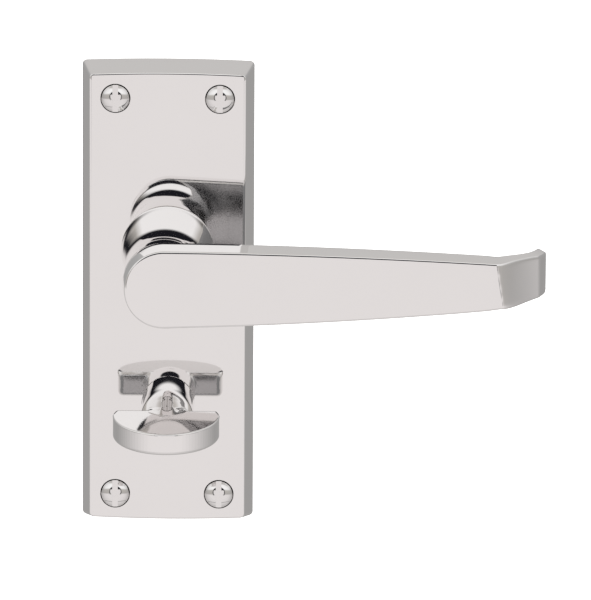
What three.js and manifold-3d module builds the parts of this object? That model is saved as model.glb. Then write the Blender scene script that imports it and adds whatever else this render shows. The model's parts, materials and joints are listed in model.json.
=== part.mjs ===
// A polished door lever on a short privacy backplate, with a thumb-turn below it that locks the lever.
// Millimetres. The origin is on the lever's axis at the door's face: +X runs along the lever, +Y goes into
// the door and +Z is up. The lever and the thumb-turn both turn about lines parallel to Y.
import * as THREE from "three";
import { mergeVertices } from "three/addons/utils/BufferGeometryUtils.js";
import Module from "manifold-3d";

const wasm = await Module();
wasm.setup();

// Backplate: a hollow-backed casting whose sides slope in to the front face.
const PLATE_WIDTH = 42;
const PLATE_HEIGHT = 118;
const PLATE_MIDDLE_Z = -12;
const PLATE_DEPTH = 8;
const PLATE_SLOPE = 1.7;
const PLATE_BOW = 0.6;
const PLATE_CORNER = 1.3;
const PLATE_FRONT = -PLATE_DEPTH;
const WALL = 2.2;
const INSIDE = PLATE_FRONT + WALL;
const HOLLOW_HALF_WIDTH = 17.3;
const HOLLOW_HALF_HEIGHT = 55.5;
const HOLLOW_CORNER = 3;
const LEVER_BORE = 10.3;
const TURN_BORE = 6.3;
const GAP = 0.3;

// Cutting tools start and end beyond the plate's front and back.
const BEFORE_PLATE = PLATE_FRONT - 1;
const BEHIND_PLATE = 1;

// Lever: a bell-shaped neck carries a tapered blade whose tip curls back to the door.
const NECK_PROFILE = [[11.2, 0], [11.1, 3.7], [10.85, 7.7], [10.45, 12.2], [9.85, 17.7], [9.2, 23.2]];
const NECK_END_RADIUS = 8.75;
const NECK_SINK = 2.5;
const BLADE_FACE_Y = -43.2;
const BLADE_BACK_Y = -36.8;
const BLADE_FACE_RAKE = 0.075;
const BLADE_BACK_RAKE = 0.063;
const BLADE_END_RADIUS = 9.9;
const BLADE_CURL_X = 82;
const BLADE_CURL_HALF_HEIGHT = 5.8;
const BLADE_CURL_FRONT = [[86.5, -36.3], [89.6, -31.6], [91.2, -26]];
const BLADE_TIP = [92.9, -21.8];
const BLADE_TIP_BACK = [88.4, -22.6];
const BLADE_CURL_BACK = [85.4, -30.6];
const BLADE_FLARE = [88, 6.1];
const BLADE_CORNER = [91.2, 5.5];
const BLADE_TIP_HALF_HEIGHT = 5;
const BLADE_TIP_FLAT = 3.6;
const TAIL_RADIUS = 8;
const TAIL_KEY_RADIUS = 7.2;
const TAIL_FLAT = 6.3;
const TAIL_END = -0.35;
const GROOVE_DEPTH = 0.6;
const KEY_PLAY = 0.15;
const SPINDLE_SIDE = 8;
const SPINDLE_FRONT = -24.5;
const SPINDLE_BACK = 55;

// Thumb-turn: a round post that fades into a half-moon grip.
const TURN_Z = -39.3;
const POST_RADIUS = 6.5;
const POST_PROFILE = [[6.5, 13], [5.6, 17], [4.1, 20.3], [1.6, 22.2]];
const POST_TAPER_FROM = 5;
const POST_NOSE = 22.2;
const POST_NOSE_HALF_HEIGHT = 1.6;
const GRIP_BACK_Y = PLATE_FRONT - 15.7;
const GRIP_FRONT_Y = PLATE_FRONT - 32.5;
const GRIP_HALF_WIDTH = 12.9;
const GRIP_THICKNESS = 5.4;
const GRIP_EDGE = 0.8;
const GRIP_FULLNESS = 0.56;
const GRIP_DROOP = THREE.MathUtils.degToRad(4);
const TURN_JOURNAL = 4.9;
const TURN_SQUARE = 6.8;
const TURN_GROOVE_RADIUS = 4.1;
const BAR_PLAY = 0.2;
const BAR_SIDE = 5;
const BAR_FRONT = -20.5;
const BAR_BACK = 50;

// Layers of the mechanism between the front wall and the cover, as [front, back].
const FLANGE = [-5.7, -5.1];
const KEYED_PLATE = [-3.3, -2.1];
const WASHER = [-2.0, -1.6];
const CIRCLIP = [-1.5, -0.7];
const COVER = [-1.0, 0];
const EAR_ANGLE = 16;
const EAR_RADIUS = 1.1;

// Locking: the cam lifts the slide until its nose stands in the path of the dog on the drive plate.
const LOCK_LIFT = 4;
const CAM_BASE = 6.2;
const CAM_DWELL_END = 187;
const DRIVE_RADIUS = 10;
const DOG_RADIUS = 12.6;
const DOG_ANGLES = [-72, -58];
const ARM_RADIUS = 16.6;
const ARM_ANGLE = 150;
const ARM_HALF_ANGLE = 5;
const LEVER_TRAVEL = 45;
const STOP_RADIUS = 0.9;
const STOP_CIRCLE = 15.7;
const STOP_ANGLES = [ARM_ANGLE + 9.5, ARM_ANGLE - LEVER_TRAVEL - 9.1];
const STOP_END = -1.8;
const NOSE_HALF_WIDTH = 2;
const NOSE_TIP_Z = -14.5;
const NECK_OF_SLIDE_Z = -17;
const STEM_HALF_WIDTH = 4.4;
const SLIDE_HALF_WIDTH = 12.8;
const SLIDE_CORNER = 2;
const WINDOW_HALF_WIDTH = 11;
const WINDOW_CORNER = 0.8;
const NIB_HALF_WIDTH = 2;
const NIB_TIP_HALF_WIDTH = 0.3;
const NIB_TIP_Z = TURN_Z + CAM_BASE + 0.25;
const WINDOW_TOP_Z = NIB_TIP_Z + 1.5;
const WINDOW_BOTTOM_Z = TURN_Z - CAM_BASE - LOCK_LIFT - 0.4;
const FRAME_TOP_Z = WINDOW_TOP_Z + 2.7;
const FRAME_BOTTOM_Z = WINDOW_BOTTOM_Z - 2.3;
const SPRING_SLOT_Z = [FRAME_TOP_Z + 0.4, -18.1];
const SPRING_SLOT_HALF_WIDTH = 2.3;
const SPRING_POST_Z = [-19.9, -18.4];
const SPRING_POST_HALF_WIDTH = 1.7;
const SPRING_POST_END = -1.3;
const SLIDE_RAIL_X = [11.1, 12.1];
const SLIDE_RAIL_Z = [-49, -31];
const SLIDE_GUIDE_X = [13.1, 14.1];
const SLIDE_GUIDE_Z = [-46, -31];

// Springs.
const RETURN_COIL = { radius: 13.2, turns: 2, length: 1.5, front: -5.3, wire: 0.35, steps: 48 };
const SLIDE_COIL = { radius: 1.3, turns: 5, middleY: -2.9, wire: 0.25, steps: 60 };
const DETENT_POST = [8.3, TURN_Z - 5.0];
const DETENT_POST_RADIUS = 0.8;
const DETENT_POST_END = -3.6;
const DETENT_LAYER = [-4.9, -3.7];
const DETENT_THICKNESS = 0.3;

// Fasteners.
const FIXING_X = 12.85;
const FIXING_Z = 50.7;
const FIXING_HEAD = 3.65;
const FIXING_SHANK = 1.75;
const FIXING_LENGTH = 25;
const FIXING_BOSS = 5.2;
const FIXING_SLOT = 1.4;
const COUNTERSINK_BACK = -5.9;
const COVER_SCREWS = [[-14.5, 28.5], [14.5, 28.5], [-14.5, -54.6], [14.5, -54.6]];
const COVER_BOSS = 2.6;
const COVER_TAPPING = 1.35;
const COVER_SCREW_SLOT = 0.5;
const COVER_SPAN_Z = [-57.2, 32.6];
const COVER_CORNER = 2;
const COVER_LEVER_HOLE = 10.9;
const COVER_TURN_HOLE = 8.3;

const ROUND = 36;
const SMALL_ROUND = 16;

const CHROME = { color: 0xdedad8, roughness: 0.05, metalness: 1 };
const STEEL = { color: 0xa8a9ab, roughness: 0.35, metalness: 1 };
const ZINC = { color: 0xb9bcbf, roughness: 0.45, metalness: 1 };
const SPRING = { color: 0x5d6064, roughness: 0.3, metalness: 1 };
const NYLON = { color: 0xe9e6dc, roughness: 0.55, metalness: 0 };

// ---- solids and joins ----

function solid(geometry) {
  const bare = geometry.index ? geometry.toNonIndexed() : geometry.clone();
  bare.deleteAttribute("normal");
  bare.deleteAttribute("uv");
  const merged = mergeVertices(bare, 1e-4);
  const vertProperties = merged.attributes.position.array;
  const triVerts = new Uint32Array(merged.index.array);
  return new wasm.Manifold(new wasm.Mesh({ numProp: 3, vertProperties, triVerts }));
}

function join(first, ...rest) {
  return rest.reduce((whole, piece) => whole.add(piece), first);
}

function cut(first, ...rest) {
  return rest.reduce((whole, piece) => whole.subtract(piece), first);
}

function common(first, ...rest) {
  return rest.reduce((whole, piece) => whole.intersect(piece), first);
}

function meshOf(name, body, look) {
  const { numProp, numVert, vertProperties, triVerts } = body.getMesh();
  const positions = new Float32Array(numVert * 3);
  for (let i = 0; i < numVert; i++) {
    positions.set(vertProperties.subarray(i * numProp, i * numProp + 3), i * 3);
  }
  const geometry = new THREE.BufferGeometry();
  geometry.setAttribute("position", new THREE.BufferAttribute(positions, 3));
  geometry.setIndex(new THREE.BufferAttribute(triVerts, 1));
  geometry.computeVertexNormals();
  const mesh = new THREE.Mesh(geometry, new THREE.MeshStandardMaterial(look));
  mesh.name = name;
  return mesh;
}

// A solid of revolution about a line parallel to Y, from [radius, y] points listed from the door outwards.
function turned(profile, x = 0, z = 0, segments = ROUND) {
  const points = profile.map(([radius, y]) => new THREE.Vector2(radius, -y));
  const geometry = new THREE.LatheGeometry(points, segments);
  geometry.rotateX(Math.PI);
  geometry.translate(x, 0, z);
  return solid(geometry);
}

function disc(radius, front, back, x = 0, z = 0, segments = ROUND) {
  return turned([[0, back], [radius, back], [radius, front], [0, front]], x, z, segments);
}

function ring(inner, outer, front, back, x = 0, z = 0, segments = ROUND) {
  const profile = [[inner, back], [outer, back], [outer, front], [inner, front], [inner, back]];
  return turned(profile, x, z, segments);
}

function box(x0, x1, y0, y1, z0, z1) {
  const geometry = new THREE.BoxGeometry(x1 - x0, y1 - y0, z1 - z0);
  geometry.translate((x0 + x1) / 2, (y0 + y1) / 2, (z0 + z1) / 2);
  return solid(geometry);
}

// A square bar about a line parallel to Y.
function squareBar(side, front, back, z = 0) {
  const half = side / 2;
  return box(-half, half, front, back, z - half, z + half);
}

// An outline drawn in X and Z, carried from front to back along Y.
function slab(shape, front, back, curveSegments = 6) {
  const geometry = new THREE.ExtrudeGeometry(shape, {
    depth: back - front,
    bevelEnabled: false,
    curveSegments,
  });
  geometry.rotateX(Math.PI / 2);
  geometry.translate(0, back, 0);
  return solid(geometry);
}

// An outline drawn in X and Y, carried up along Z.
function standing(shape, bottom, top, curveSegments = 12) {
  const geometry = new THREE.ExtrudeGeometry(shape, {
    depth: top - bottom,
    bevelEnabled: false,
    curveSegments,
  });
  geometry.translate(0, 0, bottom);
  return solid(geometry);
}

// An outline drawn in Y and Z, carried along X to both sides.
function across(shape, halfWidth) {
  const geometry = new THREE.ExtrudeGeometry(shape, { depth: 2 * halfWidth, bevelEnabled: false });
  geometry.translate(0, 0, -halfWidth);
  const [x, y, z] = [0, 1, 2].map((axis) => new THREE.Vector3().setComponent(axis, 1));
  geometry.applyMatrix4(new THREE.Matrix4().makeBasis(y, z, x));
  return solid(geometry);
}

function polygon(points) {
  return new THREE.Shape(points.map(([x, y]) => new THREE.Vector2(x, y)));
}

function polar(radius, degrees) {
  const angle = THREE.MathUtils.degToRad(degrees);
  return [radius * Math.cos(angle), radius * Math.sin(angle)];
}

// A piece of a ring between two angles in degrees, counted from +X towards +Z.
function sector(inner, outer, from, to, steps = 4) {
  const points = [];
  for (let i = 0; i <= steps; i++) {
    points.push(polar(outer, from + ((to - from) * i) / steps));
  }
  for (let i = steps; i >= 0; i--) {
    points.push(polar(inner, from + ((to - from) * i) / steps));
  }
  return polygon(points);
}

function roundedBox(halfWidth, bottom, top, corner) {
  const shape = new THREE.Shape();
  shape.moveTo(-halfWidth, bottom + corner);
  shape.absarc(-halfWidth + corner, bottom + corner, corner, Math.PI, 1.5 * Math.PI);
  shape.absarc(halfWidth - corner, bottom + corner, corner, 1.5 * Math.PI, 2 * Math.PI);
  shape.absarc(halfWidth - corner, top - corner, corner, 0, Math.PI / 2);
  shape.absarc(-halfWidth + corner, top - corner, corner, Math.PI / 2, Math.PI);
  shape.closePath();
  return shape;
}

// A wire bent along a curve.
function wire(curve, radius, steps) {
  const section = new THREE.Shape();
  section.absarc(0, 0, radius, 0, 2 * Math.PI);
  const geometry = new THREE.ExtrudeGeometry(section, {
    steps,
    extrudePath: curve,
    bevelEnabled: false,
    curveSegments: 3,
  });
  return solid(geometry);
}

class Helix extends THREE.Curve {
  // place turns a radius, an angle and an advance along the axis into a point.
  constructor(radius, turns, length, place) {
    super();
    Object.assign(this, { radius, turns, length, place });
  }
  getPoint(t) {
    const angle = 2 * Math.PI * this.turns * t;
    return this.place(this.radius * Math.cos(angle), this.radius * Math.sin(angle), this.length * t);
  }
}

// ---- backplate ----

function plateOutline(inset) {
  const w = PLATE_WIDTH / 2 - inset;
  const h = PLATE_HEIGHT / 2 - PLATE_BOW - inset;
  const top = PLATE_MIDDLE_Z + h;
  const bottom = PLATE_MIDDLE_Z - h;
  const r = PLATE_CORNER;
  const shape = new THREE.Shape();
  shape.moveTo(-w, bottom + r);
  shape.quadraticCurveTo(-w, bottom, -w + r, bottom);
  shape.quadraticCurveTo(0, bottom - 2 * PLATE_BOW, w - r, bottom);
  shape.quadraticCurveTo(w, bottom, w, bottom + r);
  shape.lineTo(w, top - r);
  shape.quadraticCurveTo(w, top, w - r, top);
  shape.quadraticCurveTo(0, top + 2 * PLATE_BOW, -w + r, top);
  shape.quadraticCurveTo(-w, top, -w, top - r);
  shape.closePath();
  return shape;
}

function fixingPlaces() {
  const places = [];
  for (const [row, side] of [["top", 1], ["bottom", -1]]) {
    places.push([`fixing_screw_${row}_left`, -FIXING_X, PLATE_MIDDLE_Z + side * FIXING_Z]);
    places.push([`fixing_screw_${row}_right`, FIXING_X, PLATE_MIDDLE_Z + side * FIXING_Z]);
  }
  return places;
}

function slopedBlock() {
  const geometry = new THREE.ExtrudeGeometry(plateOutline(PLATE_SLOPE), {
    depth: 1,
    bevelEnabled: true,
    bevelThickness: PLATE_DEPTH,
    bevelSize: PLATE_SLOPE,
    bevelSegments: 1,
    curveSegments: 5,
  });
  geometry.rotateX(Math.PI / 2);
  geometry.translate(0, 1, 0);
  const reach = PLATE_HEIGHT;
  return common(solid(geometry), box(-reach, reach, PLATE_FRONT - 1, 0, -reach, reach));
}

function hollow() {
  const bottom = PLATE_MIDDLE_Z - HOLLOW_HALF_HEIGHT;
  const top = PLATE_MIDDLE_Z + HOLLOW_HALF_HEIGHT;
  return slab(roundedBox(HOLLOW_HALF_WIDTH, bottom, top, HOLLOW_CORNER), INSIDE, BEHIND_PLATE);
}

function castDetails() {
  const post = (radius, x, z, back) => disc(radius, INSIDE - 1, back, x, z, SMALL_ROUND);
  const details = fixingPlaces().map(([, x, z]) => post(FIXING_BOSS, x, z, -GAP));
  for (const [x, z] of COVER_SCREWS) {
    details.push(post(COVER_BOSS, x, z, COVER[0] - 0.05));
  }
  for (const angle of STOP_ANGLES) {
    const [x, z] = polar(STOP_CIRCLE, angle);
    details.push(post(STOP_RADIUS, x, z, STOP_END));
  }
  for (const side of [-1, 1]) {
    const rail = SLIDE_RAIL_X.map((x) => x * side).sort((a, b) => a - b);
    const guide = SLIDE_GUIDE_X.map((x) => x * side).sort((a, b) => a - b);
    details.push(box(...rail, INSIDE - 1, KEYED_PLATE[0] - GAP, ...SLIDE_RAIL_Z));
    details.push(box(...guide, INSIDE - 1, STOP_END, ...SLIDE_GUIDE_Z));
    details.push(post(DETENT_POST_RADIUS, side * DETENT_POST[0], DETENT_POST[1], DETENT_POST_END));
  }
  const springPost = [-SPRING_POST_HALF_WIDTH, SPRING_POST_HALF_WIDTH];
  details.push(box(...springPost, INSIDE - 1, SPRING_POST_END, ...SPRING_POST_Z));
  return details;
}

function fixingHole(x, z) {
  const neck = FIXING_SHANK + 0.45;
  const mouth = FIXING_HEAD + GAP;
  const profile = [
    [0, BEHIND_PLATE],
    [neck, BEHIND_PLATE],
    [neck, COUNTERSINK_BACK],
    [mouth, PLATE_FRONT],
    [mouth, BEFORE_PLATE],
    [0, BEFORE_PLATE],
  ];
  return turned(profile, x, z, ROUND / 2);
}

function backplate() {
  const shell = cut(slopedBlock(), hollow());
  const holes = fixingPlaces().map(([, x, z]) => fixingHole(x, z));
  holes.push(disc(LEVER_BORE, BEFORE_PLATE, BEHIND_PLATE));
  holes.push(disc(TURN_BORE, BEFORE_PLATE, BEHIND_PLATE, 0, TURN_Z, ROUND / 2));
  for (const [x, z] of COVER_SCREWS) {
    holes.push(disc(COVER_TAPPING, INSIDE + 0.8, BEHIND_PLATE, x, z, SMALL_ROUND));
  }
  return cut(join(shell, ...castDetails()), ...holes);
}

// ---- lever ----

// The blade seen from above: a raked flat face, a curled tip and a steep end.
function bladePlan() {
  const left = -BLADE_END_RADIUS - 1;
  const face = (x) => BLADE_FACE_Y + BLADE_FACE_RAKE * x;
  const back = (x) => BLADE_BACK_Y + BLADE_BACK_RAKE * x;
  const backEnd = BLADE_CURL_X - 4;
  const shape = new THREE.Shape();
  shape.moveTo(left, face(left));
  shape.lineTo(BLADE_CURL_X, face(BLADE_CURL_X));
  shape.bezierCurveTo(...BLADE_CURL_FRONT.flat());
  shape.lineTo(...BLADE_TIP);
  shape.lineTo(...BLADE_TIP_BACK);
  shape.quadraticCurveTo(...BLADE_CURL_BACK, backEnd, back(backEnd));
  shape.lineTo(left, back(left));
  shape.closePath();
  return shape;
}

// The blade seen from the front: round about the lever's axis, narrowing to a slightly flared tip.
function bladeFront() {
  const r = BLADE_END_RADIUS;
  const h = BLADE_CURL_HALF_HEIGHT;
  const [flareX, flareZ] = BLADE_FLARE;
  const [cornerX, cornerZ] = BLADE_CORNER;
  const tipX = BLADE_TIP[0];
  const middleX = BLADE_CURL_X / 2;
  const middleZ = 8.95;
  const shape = new THREE.Shape();
  shape.moveTo(0, r);
  shape.absarc(0, 0, r, Math.PI / 2, 1.5 * Math.PI);
  shape.quadraticCurveTo(middleX, -middleZ, BLADE_CURL_X, -h);
  shape.quadraticCurveTo(flareX, -flareZ, cornerX, -cornerZ);
  shape.quadraticCurveTo(tipX, -BLADE_TIP_HALF_HEIGHT, tipX, -BLADE_TIP_FLAT);
  shape.lineTo(tipX, BLADE_TIP_FLAT);
  shape.quadraticCurveTo(tipX, BLADE_TIP_HALF_HEIGHT, cornerX, cornerZ);
  shape.quadraticCurveTo(flareX, flareZ, BLADE_CURL_X, h);
  shape.quadraticCurveTo(middleX, middleZ, 0, r);
  return shape;
}

function blade() {
  const reach = BLADE_END_RADIUS + 2;
  const outline = slab(bladeFront(), BLADE_FACE_Y - 3, BLADE_TIP[1] + 2, 8);
  return common(standing(bladePlan(), -reach, reach, 5), outline);
}

function neck() {
  const base = PLATE_FRONT - GAP;
  const end = BLADE_BACK_Y - NECK_SINK;
  const bell = NECK_PROFILE.map(([radius, reach]) => [radius, base - reach]);
  return turned([[0, base], ...bell, [NECK_END_RADIUS, BLADE_BACK_Y], [NECK_END_RADIUS, end], [0, end]]);
}

function circlipGroove(radius, z = 0) {
  return ring(radius, radius + 6, CIRCLIP[0] - 0.05, CIRCLIP[1] + 0.05, 0, z, 32);
}

function keyedTail() {
  const front = FLANGE[1];
  const key = disc(TAIL_KEY_RADIUS, front - 1, TAIL_END);
  const flats = box(-TAIL_FLAT, TAIL_FLAT, front - 2, BEHIND_PLATE, -TAIL_RADIUS, TAIL_RADIUS);
  return cut(common(key, flats), circlipGroove(TAIL_KEY_RADIUS - GROOVE_DEPTH));
}

function lever() {
  const journal = disc(TAIL_RADIUS, BEFORE_PLATE, FLANGE[1]);
  const socket = squareBar(SPINDLE_SIDE + GAP, SPINDLE_FRONT - 0.5, BEHIND_PLATE);
  return cut(join(neck(), blade(), journal, keyedTail()), socket);
}

// A square bar whose far end is turned down to a cone.
function chamferedBar(side, front, back, z = 0) {
  const tip = 0.525 * side;
  const corner = 0.75 * side;
  const end = [[0, back], [tip, back], [corner, back - 1.5], [corner, front], [0, front]];
  return common(squareBar(side, front, back, z), turned(end, 0, z, ROUND / 2));
}

// ---- pieces on the lever's axis inside the plate ----

function flangedBush(inner, outer, flange, z = 0) {
  const profile = [
    [inner, FLANGE[1]],
    [flange, FLANGE[1]],
    [flange, FLANGE[0]],
    [outer, FLANGE[0]],
    [outer, PLATE_FRONT + 0.1],
    [inner, PLATE_FRONT + 0.1],
    [inner, FLANGE[1]],
  ];
  return turned(profile, 0, z, ROUND);
}

function leverReturnSpring() {
  const { radius, turns, length, front } = RETURN_COIL;
  const coil = new Helix(radius, turns, length, (a, b, along) => new THREE.Vector3(a, front + along, b));
  return wire(coil, RETURN_COIL.wire, RETURN_COIL.steps);
}

function drivePlate() {
  const root = DRIVE_RADIUS - 2;
  const armSides = [ARM_ANGLE - ARM_HALF_ANGLE, ARM_ANGLE + ARM_HALF_ANGLE];
  const dog = slab(sector(root, DOG_RADIUS, ...DOG_ANGLES), ...KEYED_PLATE);
  const arm = slab(sector(root, ARM_RADIUS, ...armSides), ...KEYED_PLATE);
  const flat = TAIL_FLAT + KEY_PLAY;
  const keyhole = common(
    disc(TAIL_KEY_RADIUS + KEY_PLAY, FLANGE[0], BEHIND_PLATE),
    box(-flat, flat, FLANGE[0], BEHIND_PLATE, -DRIVE_RADIUS, DRIVE_RADIUS),
  );
  return cut(join(disc(DRIVE_RADIUS, ...KEYED_PLATE), dog, arm), keyhole);
}

// An open ring with two small ears beside its gap, which lies at the given angle.
function circlip(inner, outer, gapAngle, z = 0) {
  const ears = [-1, 1].map((side) => {
    const [x, dz] = polar(outer - 0.3, gapAngle + side * EAR_ANGLE);
    return disc(EAR_RADIUS, ...CIRCLIP, x, z + dz, 12);
  });
  const opening = slab(sector(1, outer + 3, gapAngle - EAR_ANGLE / 2, gapAngle + EAR_ANGLE / 2), -3, 1);
  const body = join(ring(inner, outer, ...CIRCLIP, 0, z, 32), ...ears);
  return cut(body, opening.translate([0, 0, z]));
}

// ---- thumb-turn ----

function gripPlan() {
  const w = GRIP_HALF_WIDTH;
  const flank = GRIP_BACK_Y - GRIP_FULLNESS * (GRIP_BACK_Y - GRIP_FRONT_Y);
  const brow = GRIP_FULLNESS * w;
  const shape = new THREE.Shape();
  shape.moveTo(-w + GRIP_EDGE, GRIP_BACK_Y);
  shape.quadraticCurveTo(-w, GRIP_BACK_Y, -w, GRIP_BACK_Y - GRIP_EDGE);
  shape.bezierCurveTo(-w, flank, -brow, GRIP_FRONT_Y, 0, GRIP_FRONT_Y);
  shape.bezierCurveTo(brow, GRIP_FRONT_Y, w, flank, w, GRIP_BACK_Y - GRIP_EDGE);
  shape.quadraticCurveTo(w, GRIP_BACK_Y, w - GRIP_EDGE, GRIP_BACK_Y);
  shape.closePath();
  return shape;
}

function grip() {
  const half = GRIP_THICKNESS / 2;
  const geometry = new THREE.ExtrudeGeometry(gripPlan(), {
    depth: GRIP_THICKNESS,
    bevelEnabled: false,
    curveSegments: 10,
  });
  geometry.translate(0, -GRIP_BACK_Y, -half);
  geometry.rotateX(GRIP_DROOP);
  geometry.translate(0, GRIP_BACK_Y, TURN_Z);
  return solid(geometry);
}

// The post keeps its width but loses height towards the grip, and ends in a blunt nose on it.
function post() {
  const base = PLATE_FRONT - GAP;
  const nose = PLATE_FRONT - POST_NOSE;
  const taperFrom = PLATE_FRONT - POST_TAPER_FROM;
  const flank = POST_PROFILE.map(([radius, reach]) => [radius, PLATE_FRONT - reach]);
  const barrel = turned([[0, base], [POST_RADIUS, base], ...flank, [0, nose]], 0, TURN_Z, 32);
  const taper = polygon([
    [base + 1, POST_RADIUS],
    [taperFrom, POST_RADIUS],
    [nose - 1, POST_NOSE_HALF_HEIGHT],
    [nose - 1, -POST_NOSE_HALF_HEIGHT],
    [taperFrom, -POST_RADIUS],
    [base + 1, -POST_RADIUS],
  ]);
  return common(barrel, across(taper, POST_RADIUS + 1).translate([0, 0, TURN_Z]));
}

function turnKnob() {
  const journal = disc(TURN_JOURNAL, BEFORE_PLATE, FLANGE[1], 0, TURN_Z, 32);
  const square = squareBar(TURN_SQUARE, FLANGE[1] - 1, TAIL_END, TURN_Z);
  const groove = circlipGroove(TURN_GROOVE_RADIUS, TURN_Z);
  const socket = squareBar(BAR_SIDE + BAR_PLAY, BAR_FRONT - 0.5, BEHIND_PLATE, TURN_Z);
  return cut(join(post(), grip(), journal, cut(square, groove)), socket);
}

// The rim rises evenly by the lock's lift over a quarter turn, then keeps that height for a few degrees.
function turnCam() {
  const points = [];
  const steps = 12;
  for (let i = 0; i <= steps; i++) {
    points.push(polar(CAM_BASE + (LOCK_LIFT * i) / steps, 90 + (90 * i) / steps));
  }
  points.push(polar(CAM_BASE + LOCK_LIFT, CAM_DWELL_END));
  for (let angle = CAM_DWELL_END + 5; angle < 450; angle += steps) {
    points.push(polar(CAM_BASE, angle));
  }
  const rim = slab(polygon(points), ...KEYED_PLATE).translate([0, 0, TURN_Z]);
  return cut(rim, squareBar(TURN_SQUARE + BAR_PLAY, FLANGE[0], BEHIND_PLATE, TURN_Z));
}

// ---- lock slide and its springs ----

function lockSlide() {
  const stemHalf = [-STEM_HALF_WIDTH, STEM_HALF_WIDTH];
  const noseHalf = [-NOSE_HALF_WIDTH, NOSE_HALF_WIDTH];
  const slotHalf = [-SPRING_SLOT_HALF_WIDTH, SPRING_SLOT_HALF_WIDTH];
  const outline = roundedBox(SLIDE_HALF_WIDTH, FRAME_BOTTOM_Z, FRAME_TOP_Z, SLIDE_CORNER);
  const opening = roundedBox(WINDOW_HALF_WIDTH, WINDOW_BOTTOM_Z, WINDOW_TOP_Z, WINDOW_CORNER);
  const frame = slab(outline, ...KEYED_PLATE);
  const stem = box(...stemHalf, ...KEYED_PLATE, FRAME_TOP_Z - 1, NECK_OF_SLIDE_Z);
  const nose = box(...noseHalf, ...KEYED_PLATE, NECK_OF_SLIDE_Z - 0.5, NOSE_TIP_Z);
  const window = slab(opening, FLANGE[0], BEHIND_PLATE);
  const slot = box(...slotHalf, FLANGE[0], BEHIND_PLATE, ...SPRING_SLOT_Z);
  const nib = polygon([
    [-NIB_HALF_WIDTH, WINDOW_TOP_Z + 1],
    [-NIB_TIP_HALF_WIDTH, NIB_TIP_Z],
    [NIB_TIP_HALF_WIDTH, NIB_TIP_Z],
    [NIB_HALF_WIDTH, WINDOW_TOP_Z + 1],
  ]);
  return join(cut(join(frame, stem, nose), window, slot), slab(nib, ...KEYED_PLATE));
}

function lockSlideSpring() {
  const { radius, turns, middleY } = SLIDE_COIL;
  const bottom = SPRING_SLOT_Z[0] + 0.4;
  const top = SPRING_POST_Z[0] - 0.4;
  const place = (a, b, along) => new THREE.Vector3(b, a + middleY, bottom + along);
  return wire(new Helix(radius, turns, top - bottom, place), SLIDE_COIL.wire, SLIDE_COIL.steps);
}

// A strip that bears on the turn's square, its ends hooked down over two cast posts.
function detentSpring() {
  const [postX, postZ] = DETENT_POST;
  const top = TURN_Z - TURN_SQUARE / 2 - BAR_PLAY;
  const strip = box(-postX, postX, ...DETENT_LAYER, top - DETENT_THICKNESS, top);
  const outer = top - postZ;
  const hooks = [-1, 1].map((side) => {
    const from = side > 0 ? -60 : 90;
    const arc = slab(sector(outer - DETENT_THICKNESS, outer, from, from + 150, 10), ...DETENT_LAYER);
    return arc.translate([side * postX, 0, postZ]);
  });
  return join(strip, ...hooks);
}

// ---- cover and screws ----

function backCover() {
  const outline = roundedBox(HOLLOW_HALF_WIDTH - GAP, ...COVER_SPAN_Z, COVER_CORNER);
  const front = COVER[0] - 1;
  const sink = [
    [0, BEHIND_PLATE],
    [2.4, BEHIND_PLATE],
    [2.4, COVER[1]],
    [1.45, COVER[0]],
    [1.45, front],
    [0, front],
  ];
  const holes = COVER_SCREWS.map(([x, z]) => turned(sink, x, z, SMALL_ROUND));
  holes.push(disc(COVER_LEVER_HOLE, front, BEHIND_PLATE));
  holes.push(disc(COVER_TURN_HOLE, front, BEHIND_PLATE, 0, TURN_Z, 32));
  for (const [, x, z] of fixingPlaces()) {
    holes.push(disc(FIXING_BOSS + GAP, front, BEHIND_PLATE, x, z, ROUND / 2));
  }
  return cut(slab(outline, ...COVER), ...holes);
}

function coverScrew(x, z) {
  const profile = [[0, 0], [2.1, 0], [1.15, -0.95], [1.15, -4.4], [0.6, -4.8], [0, -4.8]];
  const half = COVER_SCREW_SLOT / 2;
  const slot = box(x - 3, x + 3, -0.45, BEHIND_PLATE, z - half, z + half);
  return cut(turned(profile, x, z, SMALL_ROUND), slot);
}

// A raised countersunk slotted wood screw, with a tapering point.
function fixingScrew(x, z) {
  const end = PLATE_FRONT + FIXING_LENGTH;
  const profile = [
    [0, end],
    [FIXING_SHANK, end - 5],
    [FIXING_SHANK, COUNTERSINK_BACK - 0.2],
    [FIXING_HEAD, PLATE_FRONT - 0.1],
    [FIXING_HEAD - 0.15, PLATE_FRONT - 0.35],
    [2.6, PLATE_FRONT - 0.95],
    [1.4, PLATE_FRONT - 1.2],
    [0, PLATE_FRONT - 1.3],
  ];
  const half = FIXING_SLOT / 2;
  const slot = box(x - half, x + half, BEFORE_PLATE - 2, PLATE_FRONT - 0.1, z - 5, z + 5);
  return cut(turned(profile, x, z, ROUND / 2), slot);
}

// ---- the object ----

const handle = new THREE.Group();
const plateGroup = new THREE.Group();
const leverGroup = new THREE.Group();
const turnGroup = new THREE.Group();
const lockGroup = new THREE.Group();
handle.add(plateGroup, leverGroup, turnGroup, lockGroup);

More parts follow.
